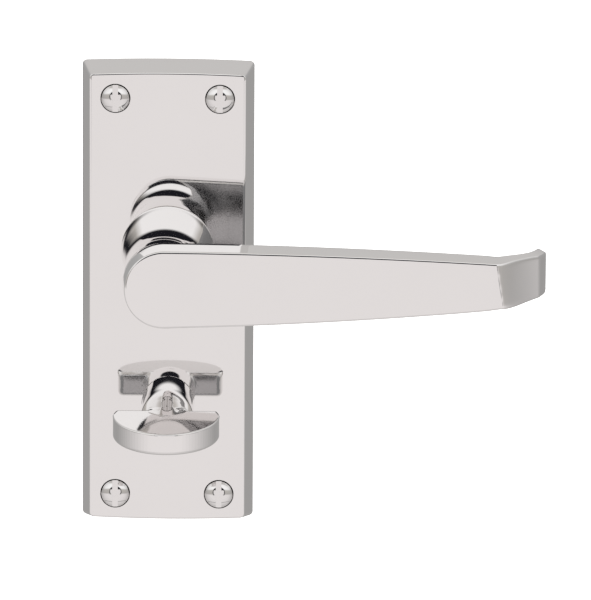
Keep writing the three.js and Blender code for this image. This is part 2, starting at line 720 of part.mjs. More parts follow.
plateGroup.add(
  meshOf("backplate", backplate(), CHROME),
  meshOf("lever_bush", flangedBush(TAIL_RADIUS + GAP, LEVER_BORE - GAP, 11.8), NYLON),
  meshOf("turn_bush", flangedBush(TURN_JOURNAL + 0.2, TURN_BORE - GAP, 7.3, TURN_Z), NYLON),
  meshOf("lever_return_spring", leverReturnSpring(), SPRING),
  meshOf("detent_spring", detentSpring(), SPRING),
  meshOf("back_cover", backCover(), ZINC),
);
for (const [name, x, z] of fixingPlaces()) {
  plateGroup.add(meshOf(name, fixingScrew(x, z), CHROME));
}
COVER_SCREWS.forEach(([x, z], i) => {
  plateGroup.add(meshOf(`cover_screw_${i + 1}`, coverScrew(x, z), ZINC));
});

leverGroup.add(
  meshOf("lever", lever(), CHROME),
  meshOf("spindle", chamferedBar(SPINDLE_SIDE, SPINDLE_FRONT, SPINDLE_BACK), STEEL),
  meshOf("drive_plate", drivePlate(), STEEL),
  meshOf("thrust_washer", ring(7.5, 9.8, ...WASHER), STEEL),
  meshOf("lever_circlip", circlip(6.8, 8.8, -90), SPRING),
);

turnGroup.add(
  meshOf("turn_knob", turnKnob(), CHROME),
  meshOf("turn_cam", turnCam(), STEEL),
  meshOf("turn_circlip", circlip(4.3, 6.0, -90, TURN_Z), SPRING),
  meshOf("turn_tail_bar", chamferedBar(BAR_SIDE, BAR_FRONT, BAR_BACK, TURN_Z), STEEL),
);

lockGroup.add(
  meshOf("lock_slide", lockSlide(), ZINC),
  meshOf("lock_slide_spring", lockSlideSpring(), SPRING),
);

export default handle;
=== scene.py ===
"""A polished lever handle on a short privacy backplate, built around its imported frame.

Sizes inside the functions are millimetres, and meshes are made in metres. The lever turns about the line
x = 0, z = 0, the door's face is y = 0, and +Y goes into the door.
"""
import json
import math

import bmesh
import bpy
import numpy as np
from bpy.props import FloatProperty, FloatVectorProperty, PointerProperty
from bpy.types import Operator, Panel, PropertyGroup
from mathutils import Matrix, Vector


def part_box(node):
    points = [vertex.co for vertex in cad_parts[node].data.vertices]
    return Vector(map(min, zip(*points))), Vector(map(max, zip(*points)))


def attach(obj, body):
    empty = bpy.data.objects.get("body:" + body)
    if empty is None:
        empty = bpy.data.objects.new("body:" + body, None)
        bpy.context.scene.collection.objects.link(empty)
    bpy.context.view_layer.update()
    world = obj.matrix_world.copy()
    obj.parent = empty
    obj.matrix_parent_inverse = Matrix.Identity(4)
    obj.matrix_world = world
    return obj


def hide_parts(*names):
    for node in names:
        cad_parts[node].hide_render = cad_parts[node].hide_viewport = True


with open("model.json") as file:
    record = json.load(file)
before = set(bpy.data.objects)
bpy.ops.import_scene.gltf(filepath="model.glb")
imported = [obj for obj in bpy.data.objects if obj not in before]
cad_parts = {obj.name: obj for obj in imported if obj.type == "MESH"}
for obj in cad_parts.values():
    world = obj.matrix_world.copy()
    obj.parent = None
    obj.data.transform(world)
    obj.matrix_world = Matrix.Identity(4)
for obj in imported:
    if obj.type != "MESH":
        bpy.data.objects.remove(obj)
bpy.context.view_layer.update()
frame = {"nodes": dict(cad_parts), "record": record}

bl_info = {
    "name": "Polished lever handle",
    "version": (1, 0, 0),
    "blender": (4, 5, 0),
    "location": "3D View > Sidebar > Handle",
    "description": "Builds a lever handle with a thumb-turn around its packed frame",
    "category": "Object",
}

MM = 0.001
SHARP_EDGE = math.radians(31)


# ---- places taken from the frame ----

def node_box(node):
    """Lowest and highest corner of a node in millimetres."""
    low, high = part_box(node)
    return np.array(low) / MM, np.array(high) / MM


def node_middle(node):
    low, high = node_box(node)
    return (low + high) / 2


def nodes_called(start):
    return [name for name in sorted(frame["nodes"]) if name.startswith(start)]


def places_of(names):
    """Where nodes stand on the plate: the x and z of their middles."""
    return [(node_middle(name)[0], node_middle(name)[2]) for name in names]


PLATE_LOW, PLATE_HIGH = node_box("backplate")
PLATE_FACE = PLATE_LOW[1]
PLATE_MIDDLE_Z = (PLATE_LOW[2] + PLATE_HIGH[2]) / 2
TURN_Z = node_middle("turn_tail_bar")[2]
SCREW_NAMES = nodes_called("fixing_screw")
SCREW_PLACES = places_of(SCREW_NAMES)
COVER_SCREW_NAMES = nodes_called("cover_screw")
COVER_SCREW_PLACES = places_of(COVER_SCREW_NAMES)
JOINED_GAP = 0.3


# ---- lines and surfaces ----

def round_angles(steps):
    """Evenly spaced angles, once around."""
    return np.arange(steps) * 2 * math.pi / steps


def rounded_line(corners, steps):
    """The line through (a, b) or (a, b, radius) corners, with each corner rounded by its radius."""
    line = [np.array(corners[0][:2], float)]
    for before, corner, after in zip(corners, corners[1:], corners[2:]):
        here = np.array(corner[:2], float)
        if len(corner) < 3:
            line.append(here)
            continue
        to_before = np.array(before[:2], float) - here
        to_after = np.array(after[:2], float) - here
        to_before /= np.linalg.norm(to_before)
        to_after /= np.linalg.norm(to_after)
        half = math.acos(np.clip(to_before @ to_after, -1, 1)) / 2
        reach = corner[2] / math.tan(half)
        middle = to_before + to_after
        centre = here + middle / np.linalg.norm(middle) * corner[2] / math.sin(half)
        start = here + to_before * reach - centre
        end = here + to_after * reach - centre
        first = math.atan2(start[1], start[0])
        turn = math.atan2(end[1], end[0]) - first
        turn = (turn + math.pi) % (2 * math.pi) - math.pi
        for i in range(steps + 1):
            angle = first + turn * i / steps
            line.append(centre + corner[2] * np.array([math.cos(angle), math.sin(angle)]))
    line.append(np.array(corners[-1][:2], float))
    return line


def bezier(controls, steps):
    """Points along a Bezier curve of any order."""
    controls = np.array(controls, float)
    order = len(controls) - 1
    t = np.linspace(0, 1, steps + 1)[:, None]
    return sum(
        math.comb(order, k) * (1 - t) ** (order - k) * t ** k * controls[k] for k in range(order + 1)
    )


def smooth_through(places, values, at):
    """A smooth curve through the given values, without overshoot between them."""
    places, values = np.array(places, float), np.array(values, float)
    steps = np.diff(places)
    rises = np.diff(values) / steps
    slopes = np.zeros(len(places))
    slopes[0], slopes[-1] = rises[0], rises[-1]
    for i in range(1, len(places) - 1):
        if rises[i - 1] * rises[i] > 0:
            slopes[i] = 2 * rises[i - 1] * rises[i] / (rises[i - 1] + rises[i])
    at = np.clip(np.asarray(at, float), places[0], places[-1])
    k = np.clip(np.searchsorted(places, at) - 1, 0, len(steps) - 1)
    t = (at - places[k]) / steps[k]
    return (
        (1 + 2 * t) * (1 - t) ** 2 * values[k]
        + t * (1 - t) ** 2 * steps[k] * slopes[k]
        + t ** 2 * (3 - 2 * t) * values[k + 1]
        + t ** 2 * (t - 1) * steps[k] * slopes[k + 1]
    )


def linked(name, data):
    """A new object in the scene."""
    made = bpy.data.objects.new(name, data)
    bpy.context.scene.collection.objects.link(made)
    return made


def shell(name, points, faces):
    """A closed mesh object from points in millimetres, its faces turned outwards."""
    mesh = bpy.data.meshes.new(name)
    mesh.from_pydata([tuple(p) for p in np.asarray(points, float) * MM], [], faces)
    net = bmesh.new()
    net.from_mesh(mesh)
    bmesh.ops.remove_doubles(net, verts=net.verts, dist=1e-8)
    bmesh.ops.recalc_face_normals(net, faces=net.faces)
    net.to_mesh(mesh)
    net.free()
    return linked(name, mesh)


def loft(name, rings):
    """A closed body through rings of equal length, capped at both ends."""
    count = len(rings[0])
    faces = []
    for level in range(len(rings) - 1):
        low, high = level * count, (level + 1) * count
        for i in range(count):
            j = (i + 1) % count
            faces.append((low + i, low + j, high + j, high + i))
    last = (len(rings) - 1) * count
    faces.append(tuple(range(count)))
    faces.append(tuple(range(last, last + count)))
    return shell(name, np.vstack(rings), faces)


def turned(name, profile, x=0.0, z=0.0, steps=96, shape=None, closed=False):
    """A body turned about a line parallel to Y, from (radius, y) points that start and end on that line."""
    profile = np.array(profile, float)
    angles = round_angles(steps)
    around = np.column_stack([np.cos(angles), np.sin(angles)])
    points, rows = [], []
    for radius, y in profile:
        rows.append(len(points))
        if radius < 1e-6:
            points.append((x, y, z))
            continue
        reach = np.full(steps, radius) if shape is None else shape(radius, y, angles)
        points.extend((x + r * c, y, z + r * s) for r, (c, s) in zip(reach, around))
    faces = []
    count = len(profile)
    for i in range(count if closed else count - 1):
        a, b = rows[i], rows[(i + 1) % count]
        a_pole, b_pole = profile[i][0] < 1e-6, profile[(i + 1) % count][0] < 1e-6
        for j in range(steps):
            k = (j + 1) % steps
            corners = [a] if a_pole else [a + j, a + k]
            corners += [b] if b_pole else [b + k, b + j]
            if len(corners) > 2:
                faces.append(tuple(corners))
    return shell(name, points, faces)


def prism(name, outline, front, back):
    """An outline of (x, z) points carried from front to back along Y."""
    outline = np.array(outline, float)
    rings = [np.column_stack([outline[:, 0], np.full(len(outline), y), outline[:, 1]]) for y in (front, back)]
    return loft(name, rings)


def drill(radius, x, z, front, back, steps):
    """A plain round cutter along Y."""
    return turned("hole", [(0, back), (radius, back), (radius, front), (0, front)], x, z, steps)


def block(name, x0, x1, y0, y1, z0, z1):
    return prism(name, [(x0, z0), (x1, z0), (x1, z1), (x0, z1)], y0, y1)


def rounded_rectangle(half_width, bottom, top, corner, steps=8):
    points = []
    for cx, cz, start in (
        (half_width - corner, top - corner, 0),
        (-half_width + corner, top - corner, 90),
        (-half_width + corner, bottom + corner, 180),
        (half_width - corner, bottom + corner, 270),
    ):
        for i in range(steps + 1):
            angle = math.radians(start + 90 * i / steps)
            points.append((cx + corner * math.cos(angle), cz + corner * math.sin(angle)))
    return points


def tube(name, path, radius, sides):
    """A wire of round section along a path, closed at both ends."""
    along = np.gradient(path, axis=0)
    along /= np.linalg.norm(along, axis=1)[:, None]
    across = np.cross(along[0], (0.3, 0.8, 0.52))
    angles = round_angles(sides)
    rings = []
    for point, way in zip(path, along):
        across = across - (across @ way) * way
        across /= np.linalg.norm(across)
        up = np.cross(way, across)
        rings.append(point + radius * (np.outer(np.cos(angles), across) + np.outer(np.sin(angles), up)))
    return loft(name, rings)


def together(name, pieces):
    """Several separate bodies as one object."""
    net = bmesh.new()
    for piece in pieces:
        net.from_mesh(piece.data)
    mesh = bpy.data.meshes.new(name)
    net.to_mesh(mesh)
    net.free()
    for piece in pieces:
        bpy.data.objects.remove(piece)
    return linked(name, mesh)


def bake_modifiers(piece):
    """Turns the piece's modifiers into its mesh."""
    graph = bpy.context.evaluated_depsgraph_get()
    mesh = bpy.data.meshes.new_from_object(piece.evaluated_get(graph))
    piece.modifiers.clear()
    piece.data = mesh
    return piece


def joined(piece, operation, other):
    """Joins (UNION) or cuts (DIFFERENCE) one closed body with another, which is used up."""
    change = piece.modifiers.new("join", "BOOLEAN")
    change.operation = operation
    change.object = other
    change.solver = "EXACT"
    bake_modifiers(piece)
    bpy.data.objects.remove(other)
    return piece


def eased(piece, width):
    """Breaks the sharp edges with a small round."""
    change = piece.modifiers.new("edges", "BEVEL")
    change.width = width * MM
    change.segments = 2
    change.limit_method = "ANGLE"
    change.angle_limit = math.radians(60)
    return bake_modifiers(piece)


def polished(piece, sharp=SHARP_EDGE):
    """Smooth surfaces that keep flat faces flat and sharp edges sharp."""
    mesh = piece.data
    mesh.polygons.foreach_set("use_smooth", np.ones(len(mesh.polygons), bool))
    mesh.set_sharp_from_angle(angle=sharp)
    change = piece.modifiers.new("normals", "WEIGHTED_NORMAL")
    change.mode = "FACE_AREA"
    change.weight = 100
    change.keep_sharp = True
    return bake_modifiers(piece)


# ---- finishes ----

class Value:
    """A shader socket that Python arithmetic can use."""

    def __init__(self, net, socket):
        self.net = net
        self.socket = socket

    def _with(self, operation, *others):
        return self.net.node("ShaderNodeMath", {"operation": operation}, dict(enumerate(others)))

    def __add__(self, other):
        return self._with("ADD", self, other)

    __radd__ = __add__

    def __sub__(self, other):
        return self._with("SUBTRACT", self, other)

    def __rsub__(self, other):
        return self._with("SUBTRACT", other, self)

    def __mul__(self, other):
        return self._with("MULTIPLY", self, other)

    __rmul__ = __mul__


class Net:
    """The nodes of one material or world."""

    def __init__(self, owner):
        owner.use_nodes = True
        self.owner = owner
        self.tree = owner.node_tree
        self.tree.nodes.clear()

    def node(self, kind, settings=None, values=None, out=0):
        """Adds a node, sets it up, feeds its sockets and returns one output."""
        made = self.tree.nodes.new(kind)
        for key, value in (settings or {}).items():
            if key == "stops":
                self.set_stops(made.color_ramp, value)
            else:
                setattr(made, key, value)
        for key, value in (values or {}).items():
            if isinstance(value, Value):
                self.tree.links.new(value.socket, made.inputs[key])
            else:
                made.inputs[key].default_value = value
        return Value(self, made.outputs[out]) if made.outputs else made

    @staticmethod
    def set_stops(ramp, stops):
        while len(ramp.elements) > 1:
            ramp.elements.remove(ramp.elements[-1])
        for i, (place, colour) in enumerate(stops):
            stop = ramp.elements[0] if i == 0 else ramp.elements.new(place)
            stop.position = place
            stop.color = (*colour, 1) if len(colour) == 3 else colour

    def noise(self, scale, detail=2.0, stretch=(1, 1, 1), distortion=0.0):
        """Noise in object coordinates, stretched along the axes."""
        where = self.node("ShaderNodeTexCoord", out="Object")
        place = self.node("ShaderNodeMapping", values={"Vector": where, "Scale": stretch})
        values = {"Vector": place, "Scale": scale, "Detail": detail, "Distortion": distortion}
        return self.node("ShaderNodeTexNoise", values=values)

    def ramp(self, value, stops):
        """Grey or colour by value. Stops are (place, grey) or (place, (r, g, b))."""
        full = [(p, (c,) * 3 if isinstance(c, (int, float)) else c) for p, c in stops]
        return self.node("ShaderNodeValToRGB", {"stops": full}, {0: value})

    def rise(self, value, low, high):
        """0 below low, 1 above high, and a straight rise between them."""
        return self.ramp(value, [(low, 0.0), (high, 1.0)])

    def mix(self, factor, first, second):
        values = {0: factor, 6: first, 7: second}
        return self.node("ShaderNodeMix", {"data_type": "RGBA"}, values, out=2)

    def bump(self, height, strength, distance):
        values = {"Height": height, "Strength": strength, "Distance": distance}
        return self.node("ShaderNodeBump", values=values)

    def surface(self, **values):
        """Ends the material in one surface, whose sockets are given by name."""
        named = {key.replace("_", " ").title(): value for key, value in values.items()}
        if "Ior" in named:
            named["IOR"] = named.pop("Ior")
        made = self.node("ShaderNodeBsdfPrincipled", values=named)
        self.node("ShaderNodeOutputMaterial", values={"Surface": made})
        return self.owner


def new_finish(name, colour):
    return Net(bpy.data.materials.new(name)), (*colour, 1)


def darker(colour, share):
    return tuple(channel * share for channel in colour[:3]) + (1,)


def chrome(name, colour, roughness, scratches):
    """Mirror chrome over a hand-polished casting: faint waves, fine wheel lines and a worn sheen."""
    net, colour = new_finish(name, colour)
    haze = net.rise(net.noise(45.0, 3.0), 0.35, 0.75)
    lines = net.rise(net.noise(900.0, 2.0, (1.0, 1.0, 0.05), 0.3), 0.62, 0.74)
    waves = net.noise(90.0, 1.0)
    return net.surface(
        base_color=net.mix(haze * 0.5, colour, darker(colour, 0.975)),
        metallic=1.0,
        roughness=roughness + haze * 0.012 + lines * (0.02 * scratches),
        normal=net.bump(waves * 0.6 + lines * (0.25 * scratches), 0.05, 0.00001),
    )


def streaked_chrome(name, colour, roughness):
    """Chrome over the hand-dressed curl of the blade, where the wheel left broad slanting streaks."""
    net, colour = new_finish(name, colour)
    broad = net.noise(55.0, 2.0, (2.2, 0.6, 1.0), 0.6)
    fine = net.noise(420.0, 2.0, (1.0, 0.3, 0.25), 0.2)
    return net.surface(
        base_color=net.mix(broad, darker(colour, 0.99), darker(colour, 0.93)),
        metallic=1.0,
        roughness=roughness + broad * 0.10 + fine * 0.03,
        normal=net.bump(broad + fine * 0.1, 0.25, 0.00012),
    )


def dressed_chrome(name, colour, roughness):
    """Chrome over the rougher back of a casting, dressed by hand: duller and rougher, with upright streaks;
    its colour is darkened well below the chrome's, which is painted shade on the sides that face the door.
    """
    net, colour = new_finish(name, colour)
    streaks = net.noise(600.0, 3.0, (1.0, 1.0, 0.1), 0.4)
    clouds = net.noise(70.0, 3.0)
    return net.surface(
        # Painted shade: both colours are the given grey darkened to 0.66 and 0.56; the cloud noise between
        # them is random tone.
        base_color=net.mix(clouds, darker(colour, 0.66), darker(colour, 0.56)),
        metallic=1.0,
        roughness=roughness + streaks * 0.16,
        normal=net.bump(streaks, 0.2, 0.00003),
    )


def drawn_steel(name, colour, roughness, stretch):
    """Zinc-plated steel with drawing lines along the bar and a soft cloudy bloom."""
    net, colour = new_finish(name, colour)
    lines = net.noise(700.0, 4.0, stretch)
    bloom = net.rise(net.noise(60.0, 4.0), 0.3, 0.7)
    return net.surface(
        base_color=net.mix(bloom, colour, darker(colour, 0.82)),
        metallic=1.0,
        roughness=roughness + lines * 0.18 + bloom * 0.1,
        normal=net.bump(lines, 0.35, 0.00004),
    )


def oiled_spring(name, colour):
    """Dark spring steel under a thin film of oil."""
    net, colour = new_finish(name, colour)
    film = net.rise(net.noise(160.0, 3.0), 0.35, 0.7)
    return net.surface(
        base_color=net.mix(film, colour, (0.30, 0.24, 0.17, 1)),
        metallic=0.95,
        roughness=0.24 + film * 0.2,
        normal=net.bump(net.noise(1500.0, 2.0), 0.2, 0.00002),
        coat_weight=0.4,
        coat_roughness=0.12,
    )


def moulded_nylon(name, colour):
    """Natural nylon with the fine grain of its mould."""
    net, colour = new_finish(name, colour)
    grain = net.noise(2200.0, 3.0)
    return net.surface(
        base_color=net.mix(net.noise(120.0, 2.0), colour, darker(colour, 0.88)),
        roughness=0.42 + grain * 0.16,
        normal=net.bump(grain, 0.3, 0.00003),
        ior=1.53,
    )


FINISHES = {}


def make_finishes(look):
    """Makes every finish once, with the colours of the frame's record where it has them."""
    if FINISHES:
        return
    colours = {row["slot"]: row["base_color"] for row in frame["record"]["materials"]}
    for name, maker, colour, *settings in (
        ("polished_chrome", chrome, look.chrome_colour, look.chrome_roughness, 0.4),
        ("streaked_chrome", streaked_chrome, look.chrome_colour, 0.05),
        # The grey of the dressed backs is darkened further in their material, as painted shade.
        ("dressed_chrome", dressed_chrome, (0.84, 0.845, 0.86), 0.12),
        ("screw_chrome", chrome, colours["screw_chrome"], 0.06, 1.0),
        ("bar_steel", drawn_steel, colours["bar_steel"], 0.22, (1, 0.03, 1)),
        ("pressed_steel", drawn_steel, colours["pressed_steel"], 0.3, (1, 1, 0.12)),
        ("spring_steel", oiled_spring, colours["spring_steel"]),
        ("bush_nylon", moulded_nylon, colours["bush_nylon"]),
    ):
        FINISHES[name] = maker(name, colour, *settings)


def finished(piece, *names):
    make_finishes(bpy.context.scene.handle_look)
    for name in names:
        piece.data.materials.append(FINISHES[name])
    return piece


def placed(piece, body, slot, node):
    """Gives a piece its finish and its body, and hides the node that it stands for."""
    if not piece.data.materials:
        finished(piece, slot)
    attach(piece, body)
    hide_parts(node)
    return piece


# ---- backplate ----

FIXING_BOSS = 5.2
COVER_BOSS = 2.6
LEVER_BORE = 10.3
TURN_BORE = 6.3
COUNTERSINK = 3.7
INSIDE = PLATE_FACE + 2.2
HOLLOW_HALF_WIDTH = 17.3
HOLLOW_HALF_HEIGHT = 55.5
STOP_ANGLES = (159.5, 95.9)
STOP_CIRCLE = 15.7
RAIL_BACK = -3.6
LOW_BACK = -1.8


def plate_ring(inset, y, plate):
    """The plate's outline at one depth: straight sides, slightly bowed ends and small round corners."""
    half_width = (PLATE_HIGH[0] - PLATE_LOW[0]) / 2 + plate.swell - inset * plate.side_share
    half_height = (PLATE_HIGH[2] - PLATE_LOW[2]) / 2 - plate.bow - inset
    corner = plate.corner
    straight = half_width - corner
    quarter = [
        (x, half_height + plate.bow * (1 - (x / straight) ** 2)) for x in np.linspace(0, straight, 11)[:-1]
    ]
    quarter += [
        (straight + corner * math.cos(angle), half_height - corner + corner * math.sin(angle))
        for angle in np.linspace(math.pi / 2, 0, 9)
    ]
    right = quarter + [(x, -z) for x, z in reversed(quarter)]
    left = [(-x, z) for x, z in reversed(right)][1:-1]
    ring = np.array(right + left)
    return np.column_stack([ring[:, 0], np.full(len(ring), y), ring[:, 1] + PLATE_MIDDLE_Z])


def plate_edge(plate):
    """Inset and depth from the back face, over the sloping side, to the slightly crowned front edge."""
    radius, first = plate.crown, math.radians(plate.crown_angle)
    crown = [
        (plate.slope + radius * (math.sin(first) - math.sin(a)), PLATE_FACE + radius * (1 - math.cos(a)))
        for a in np.linspace(first, 0, 9)
    ]
    corners = [(1.0, 0.0), (0.0, 0.0, 0.15), (*crown[0], 0.2)]
    line = rounded_line(corners + [crown[1]], 5)[:-1]
    return [tuple(p) for p in line] + crown[1:]


def pillar(radius, x, z, back, steps=32):
    edge = 0.2
    profile = [(0, INSIDE - 1), (radius, INSIDE - 1), (radius, back - edge), (radius - edge, back), (0, back)]
    return turned("pillar", profile, x, z, steps)


def plate_details():
    """What is cast inside the hollow: bosses, stops, rails and spring posts."""
    details = [pillar(FIXING_BOSS, x, z, -JOINED_GAP, 48) for x, z in SCREW_PLACES]
    details += [pillar(COVER_BOSS, x, z, -1.05) for x, z in COVER_SCREW_PLACES]
    for angle in np.radians(STOP_ANGLES):
        x, z = STOP_CIRCLE * math.cos(angle), STOP_CIRCLE * math.sin(angle)
        details.append(pillar(0.9, x, z, LOW_BACK, 24))
    for side in (-1, 1):
        rail = sorted((11.1 * side, 12.1 * side))
        guide = sorted((13.1 * side, 14.1 * side))
        details.append(block("rail", *rail, INSIDE - 1, RAIL_BACK, -49, -31))
        details.append(block("guide", *guide, INSIDE - 1, LOW_BACK, -46, -31))
        details.append(pillar(0.8, 8.3 * side, TURN_Z - 5, RAIL_BACK, 24))
    details.append(block("spring_post", -1.7, 1.7, INSIDE - 1, -1.3, -19.9, -18.4))
    return together("details", details)


def plate_holes():
    front, back = PLATE_FACE - 1, 1
    mouth = [
        (0, back), (2.2, back), (2.2, -5.9), (COUNTERSINK, PLATE_FACE), (COUNTERSINK, front), (0, front),
    ]
    holes = [turned("hole", mouth, x, z, 64) for x, z in SCREW_PLACES]
    holes += [drill(LEVER_BORE, 0, 0, front, back, 96), drill(TURN_BORE, 0, TURN_Z, front, back, 96)]
    holes += [drill(1.35, x, z, -5, back, 24) for x, z in COVER_SCREW_PLACES]
    return together("holes", holes)


def build_backplate(plate):
    piece = loft("backplate_body", [plate_ring(inset, y, plate) for inset, y in plate_edge(plate)])
    low, high = PLATE_MIDDLE_Z - HOLLOW_HALF_HEIGHT, PLATE_MIDDLE_Z + HOLLOW_HALF_HEIGHT
    hollow = rounded_rectangle(HOLLOW_HALF_WIDTH, low, high, 3)
    joined(piece, "DIFFERENCE", prism("hollow", hollow, INSIDE, 1))
    joined(piece, "UNION", plate_details())
    joined(piece, "DIFFERENCE", plate_holes())
    placed(polished(piece), "plate", "polished_chrome", "backplate")


# ---- lever ----

BLADE_CURL = 82.0
BLADE_FOLD = (91.4, -28.3)
BLADE_TIP = (93.4, -22.8)
BLADE_BACK_TIP = (91.2, -21.6)
CURL_SLANT = 0.136
TIP_CORNER = 1.6
JOURNAL_START = -12
JOURNAL_END = -5.1
TAIL_END = -0.35
CLIP_GROOVE = (-1.55, -0.65)
SOCKET_END = 1


def face_y(x):
    return -43.2 + 0.075 * x


def back_y(x):
    return -36.8 + 0.063 * x


def along_path(at, run, path):
    return np.column_stack([np.interp(at, run, path[:, i]) for i in (0, 1)])


class Blade:
    """Maps a place on the flattened blade, (along, up, depth), to a point of the curled blade."""

    def __init__(self, lever):
        self.lever = lever
        start = (BLADE_CURL, face_y(BLADE_CURL))
        curl = bezier([start, (84.6, -35.9), (87.2, -32.0), BLADE_FOLD], 40)
        strip = bezier([BLADE_FOLD, (92.2, -26.9), (93.1, -24.9), BLADE_TIP], 12)[1:]
        path = np.vstack([curl, strip])
        run = np.concatenate([[0], np.cumsum(np.linalg.norm(np.diff(path, axis=0), axis=1))])
        self.path, self.run = path, BLADE_CURL + run
        self.fold = BLADE_CURL + run[len(curl) - 1]
        self.end = self.run[-1]
        self.back_start = BLADE_CURL - 4
        back = (self.back_start, back_y(self.back_start))
        self.back_path = bezier([back, (84.0, -32.3), (89.2, -29.2), BLADE_BACK_TIP], 40)
        self.back_run = np.linspace(self.back_start, self.end, 41)

    def half_height(self, along):
        """Half the blade's height at its back outline."""
        x = np.minimum(along, BLADE_CURL)
        straight = 9.6 - 0.0238 * x - 3.184e-4 * x ** 2
        places = [BLADE_CURL, BLADE_CURL + 4.5, self.fold - 3, self.fold, self.end]
        flare = smooth_through(places, [5.51, 5.66, 5.5, 5.3, 5.1], along)
        return np.where(along > BLADE_CURL, flare, straight) + self.lever.blade_draft

    def front(self, along, up):
        """The face of the blade. The curl starts on a slant, further out at the bottom."""
        fade = np.clip((self.end - along) / (self.end - BLADE_CURL), 0, 1)
        shifted = along + CURL_SLANT * up * fade * np.clip((along - 70) / 12, 0, 1)
        shifted = np.minimum(shifted, self.end)
        flat = np.column_stack([along, face_y(along)])
        curled = along_path(shifted, self.run, self.path)
        curled[:, 0] += (along - shifted) * fade
        return np.where((shifted > BLADE_CURL)[:, None], curled, flat)

    def back(self, along):
        flat = np.column_stack([along, back_y(along)])
        curled = along_path(along, self.back_run, self.back_path)
        return np.where((along > self.back_start)[:, None], curled, flat)

    def points(self, along, up, depth, start):
        """depth is counted from the face, from the back towards the face, or as a share of the thickness."""
        along, up = np.asarray(along, float), np.asarray(up, float)
        places = [-10, 0, 22, 60, 78, 85, 91]
        fuller_below = smooth_through(places, [1.025, 1.03, 1.065, 1.11, 1.13, 1.08, 1.05], along)
        up = np.where(up < 0, up * fuller_below, up)
        front, back = self.front(along, up), self.back(along)
        way = back - front
        thickness = np.linalg.norm(way, axis=1)[:, None]
        share = {"face": depth / thickness, "back": 1 - depth / thickness, "share": depth}[start]
        plan = front + way * share
        return np.column_stack([plan[:, 0], plan[:, 1], up])


def blade_outline(blade):
    """Upper half of the flattened outline, from the round end to the tip: (along, up) points."""
    radius = float(blade.half_height(0.0))
    turn = np.linspace(0, math.pi / 2, 29)
    upper = [(-radius * math.cos(a), radius * math.sin(a)) for a in turn[:-1]]
    corner = blade.end - TIP_CORNER
    stops = np.concatenate([
        np.linspace(0, 78, 40)[:-1],
        np.linspace(78, 86, 25)[:-1],
        np.linspace(86, corner, 34),
    ])
    upper += list(zip(stops, blade.half_height(stops)))
    last = float(blade.half_height(corner)) - TIP_CORNER
    upper += [
        (corner + TIP_CORNER * math.sin(a), last + TIP_CORNER * math.cos(a))
        for a in np.linspace(0, math.pi / 2, 9)[1:]
    ]
    return np.array(upper, float)


def inset_outline(upper, inset):
    """The outline moved inwards, keeping its points paired above and below."""
    way = np.gradient(upper, axis=0)
    way /= np.linalg.norm(way, axis=1)[:, None]
    inward = np.column_stack([way[:, 1], -way[:, 0]])
    inward[0] = (1, 0)
    inward[-1] = (-1, 0)
    moved = upper + inset * inward
    moved[0, 1] = 0
    return moved


def build_blade(lever):
    blade = Blade(lever)
    upper = blade_outline(blade)
    draft, crown, edge = lever.blade_draft, lever.edge_crown, lever.edge_round
    roll = math.radians(20)
    profile = [
        (draft + edge * 0.66 + crown * (math.sin(roll) - math.sin(a)), crown * (1 - math.cos(a)), "face")
        for a in np.linspace(0, roll, 6)
    ]
    sunk = profile[-1][1]
    profile += [
        (draft + edge * (1 - math.sin(a)), sunk + edge * (math.cos(roll) - math.cos(a)), "face")
        for a in np.linspace(roll, math.pi / 2, 7)[1:]
    ]
    profile.append((draft * 0.1, 0.72, "share"))
    rounding = 0.5
    profile += [
        (rounding * (1 - math.cos(a)), rounding * (1 - math.sin(a)), "back")
        for a in np.linspace(0, math.pi / 2, 7)
    ]
    across = 14
    count = len(upper)
    points, faces, rings, lines = [], [], [], []
    for inset, depth, start in profile:
        line = inset_outline(upper, inset)
        whole = np.vstack([line, (line[1:] * (1, -1))[::-1]])
        rings.append(range(len(points), len(points) + len(whole)))
        lines.append(line)
        points.extend(blade.points(whole[:, 0], whole[:, 1], depth, start))
    size = len(rings[0])
    for low, high in zip(rings, rings[1:]):
        for i in range(size):
            j = (i + 1) % size
            faces.append((low[i], low[j], high[j], high[i]))

    def cover(ring, line, start, bulge):
        """Fills a ring with strips between its paired points, crowned by a share of the half height."""
        columns = [[ring[0]] * (across + 1)]
        for i in range(1, count):
            between = []
            for k in range(1, across):
                ratio = 1 - 2 * k / across
                depth = -bulge * line[i, 1] * (1 - ratio ** 2)
                between.append(len(points))
                points.append(blade.points([line[i, 0]], [line[i, 1] * ratio], depth, start)[0])
            columns.append([ring[i]] + between + [ring[size - i]])
        for left, right in zip(columns, columns[1:]):
            for k in range(across):
                corners = [left[k], right[k], right[k + 1], left[k + 1]]
                unique = [c for n, c in enumerate(corners) if c not in corners[:n]]
                if len(unique) > 2:
                    faces.append(tuple(unique))

    cover(rings[0], lines[0], "face", 0)
    cover(rings[-1], lines[-1], "back", lever.back_crown)
    return shell("lever_casting", points, faces)


def neck_profile(lever):
    """The bell-shaped neck, from inside the blade to its foot at the plate."""
    foot_side = {3.5: 11.05, 7.0: 10.62, 10.5: 10.2, 14.0: 9.8, 15.5: 9.67, 17.0: 9.58}
    blade_side = {20.5: 9.57, 22.0: 9.69, 24.0: 9.9, 26.0: 10.1, 28.6: 10.15}
    sizes = {0.0: lever.foot_radius, **foot_side, 18.6: lever.waist_radius, **blade_side}
    reach, radii = list(sizes), list(sizes.values())
    along = np.concatenate([np.linspace(0, 24, 41), np.linspace(24, 28.6, 16)[1:]])
    line = [(float(smooth_through(reach, radii, d)), PLATE_FACE - JOINED_GAP - d) for d in along]
    foot = PLATE_FACE - JOINED_GAP
    end = line[-1][1] - 2.5
    start = [(0, foot), (lever.foot_radius - 0.15, foot), (lever.foot_radius, foot - 0.12)]
    return start + line[1:] + [(line[-1][0] - 0.3, end), (0, end)]


